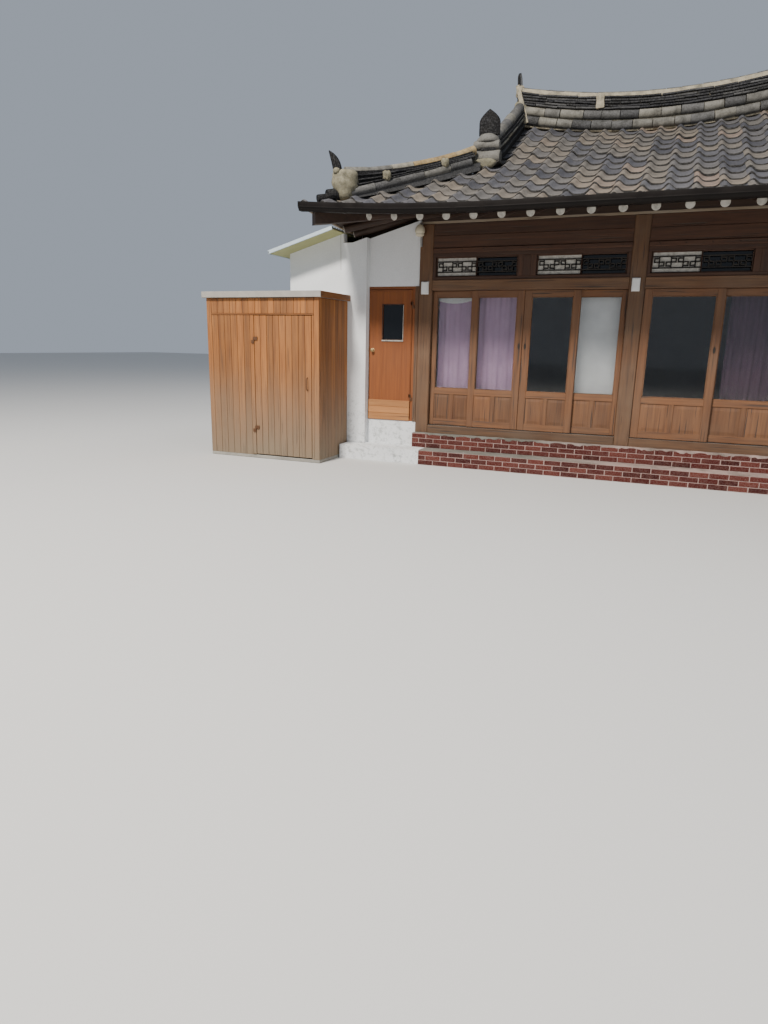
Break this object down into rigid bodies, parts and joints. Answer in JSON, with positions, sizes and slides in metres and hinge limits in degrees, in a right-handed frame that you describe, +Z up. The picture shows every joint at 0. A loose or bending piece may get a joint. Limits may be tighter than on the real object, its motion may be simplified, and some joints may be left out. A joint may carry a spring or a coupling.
{
  "type": "hanok house",
  "caption": "Small traditional timber house with a curved hip-and-gable tiled roof, sliding glazed doors, a plastered lean-to and a boarded shed.",
  "frame": {"origin": "centre of the footprint's bounding box, on the ground", "axes": "+Z up; the front with the sliding doors faces -Y; +X runs along the front, away from the lean-to"},
  "size_m": [9.7588, 7.5502, 5.79],
  "materials": {
    "brick": "matt fired brick with pale mortar, worn on the treads",
    "concrete": "rough painted cement, grey where worn",
    "old_timber": "weathered brown softwood, open grain, low sheen",
    "dark_timber": "dark brown stained timber, satin",
    "glass": "clear window glass",
    "door_timber": "brown varnished softwood, worn pale on the lower rails",
    "plaster": "white painted lime plaster, stained near the ground",
    "roof_tile": "unglazed grey fired clay, weathered from beige to blue grey",
    "ridge_tile": "unglazed grey fired clay with lichen and lime plaster patches",
    "gutter_metal": "dark brown coated sheet metal, satin",
    "sheet_roof": "pale grey coated sheet, satin",
    "orange_timber": "orange brown stained boards, satin, greyed near the ground",
    "curtain_cloth": "mauve woven cloth",
    "blind_cloth": "pale blind cloth"
  },
  "bodies": {
    "house": {"foundation": "brick", "brick_step": "brick", "annex_platform": "concrete", "annex_base": "concrete", "floor": "old_timber", "post_front_left": "old_timber", "post_front_middle": "old_timber", "post_front_right": "old_timber", "sill_left_bay": "old_timber", "sill_right_bay": "old_timber", "lintel_left_bay": "old_timber", "lintel_right_bay": "old_timber", "wall_plate": "old_timber", "header_left_bay": "dark_timber", "header_right_bay": "dark_timber", "rafters_front": "dark_timber", "rafters_back": "dark_timber", "rafters_left": "dark_timber", "rafters_right": "dark_timber", "transom_glass_left_bay": "glass", "transom_glass_right_bay": "glass", "left_wall": "plaster", "right_wall": "plaster", "back_wall": "plaster", "gable_left": "plaster", "gable_right": "plaster", "annex_front_wall": "plaster", "annex_left_wall": "plaster", "annex_back_wall": "plaster", "roof_front": "roof_tile", "roof_back": "roof_tile", "roof_left": "roof_tile", "roof_right": "roof_tile", "main_ridge": "ridge_tile", "ridge_front_left": "ridge_tile", "ridge_front_right": "ridge_tile", "ridge_back_left": "ridge_tile", "ridge_back_right": "ridge_tile", "gutter_length_1": "gutter_metal", "gutter_length_2": "gutter_metal", "gutter_length_3": "gutter_metal", "gutter_length_4": "gutter_metal", "annex_roof": "sheet_roof", "shed_roof": "sheet_roof", "annex_door_frame": "orange_timber", "shed_front": "orange_timber", "shed_left_side": "orange_timber", "shed_right_side": "orange_timber", "curtain_left_bay": "curtain_cloth", "curtain_right_bay": "curtain_cloth", "blind_left_bay": "blind_cloth"},
    "left_leaf_1": {"left_bay_leaf_1": "door_timber"},
    "left_leaf_2": {"left_bay_leaf_2": "door_timber"},
    "left_leaf_3": {"left_bay_leaf_3": "door_timber"},
    "left_leaf_4": {"left_bay_leaf_4": "door_timber"},
    "right_leaf_1": {"right_bay_leaf_1": "door_timber"},
    "right_leaf_2": {"right_bay_leaf_2": "door_timber"},
    "right_leaf_3": {"right_bay_leaf_3": "door_timber"},
    "annex_door": {"annex_door": "orange_timber"},
    "shed_door": {"shed_door": "orange_timber"}
  },
  "joints": [
    {"name": "left_leaf_1_slide", "type": "slide", "parent": "house", "child": "left_leaf_1", "axis": [1, 0, 0], "range_m": [0, 0.6]},
    {"name": "left_leaf_2_slide", "type": "slide", "parent": "house", "child": "left_leaf_2", "axis": [1, 0, 0], "range_m": [-0.56, 0]},
    {"name": "left_leaf_3_slide", "type": "slide", "parent": "house", "child": "left_leaf_3", "axis": [1, 0, 0], "range_m": [0, 0.56]},
    {"name": "left_leaf_4_slide", "type": "slide", "parent": "house", "child": "left_leaf_4", "axis": [1, 0, 0], "range_m": [-0.6, 0]},
    {"name": "right_leaf_1_slide", "type": "slide", "parent": "house", "child": "right_leaf_1", "axis": [1, 0, 0], "range_m": [0, 1.65]},
    {"name": "right_leaf_2_slide", "type": "slide", "parent": "house", "child": "right_leaf_2", "axis": [1, 0, 0], "range_m": [-0.82, 0.82]},
    {"name": "right_leaf_3_slide", "type": "slide", "parent": "house", "child": "right_leaf_3", "axis": [1, 0, 0], "range_m": [-1.65, 0]},
    {"name": "annex_door_hinge", "type": "hinge", "parent": "house", "child": "annex_door", "pos_m": [-2.0738, -2.35485, 1.5], "axis": [0, 0, 1], "range_deg": [0, 100]},
    {"name": "shed_door_hinge", "type": "hinge", "parent": "house", "child": "shed_door", "pos_m": [-4.0585, -3.37485, 1], "axis": [0, 0, -1], "range_deg": [0, 110]}
  ]
}
